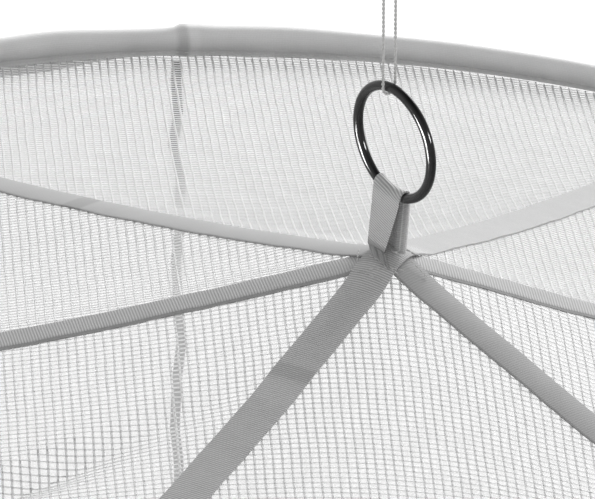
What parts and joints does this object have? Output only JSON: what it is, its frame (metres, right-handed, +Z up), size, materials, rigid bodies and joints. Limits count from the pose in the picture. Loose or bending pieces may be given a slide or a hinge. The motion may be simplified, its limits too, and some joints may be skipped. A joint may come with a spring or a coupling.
{
  "type": "mosquito net canopy on its hoop",
  "caption": "Round mosquito net canopy: a tented net roof and a long flared net wall on a wire hoop, carried by crossed tapes, a ring and a hanging cord",
  "frame": {"origin": "inside top of the eye of the hanging cord, where the ceiling hook holds it", "axes": "+Z up, +X to the right and +Y away from the usual viewer; the axis of the crown is the Z axis"},
  "size_m": [0.9282, 0.9195, 2.2156],
  "materials": {
    "netting": "coarse even square net, thick warp and thin cross threads",
    "ribbed_tape": "ribbed woven tape, matte",
    "casing_tape": "plain woven tape folded over the hoop, matte",
    "cord": "two-ply twisted cord, matte",
    "ring_metal": "dark gunmetal plating, glossy",
    "hoop_wire": "plain painted wire, hidden in its casing"
  },
  "bodies": {
    "root": {"hang_cord": "cord", "cord_knot": "cord", "crown_ring": "ring_metal", "ring_loop": "ribbed_tape", "roof_tape_over": "ribbed_tape", "roof_tape_middle": "ribbed_tape", "roof_tape_under": "ribbed_tape", "roof_net": "netting", "hoop": "hoop_wire", "hoop_casing": "casing_tape", "wall_net": "netting", "wall_seam_binding": "ribbed_tape"}
  },
  "joints": []
}
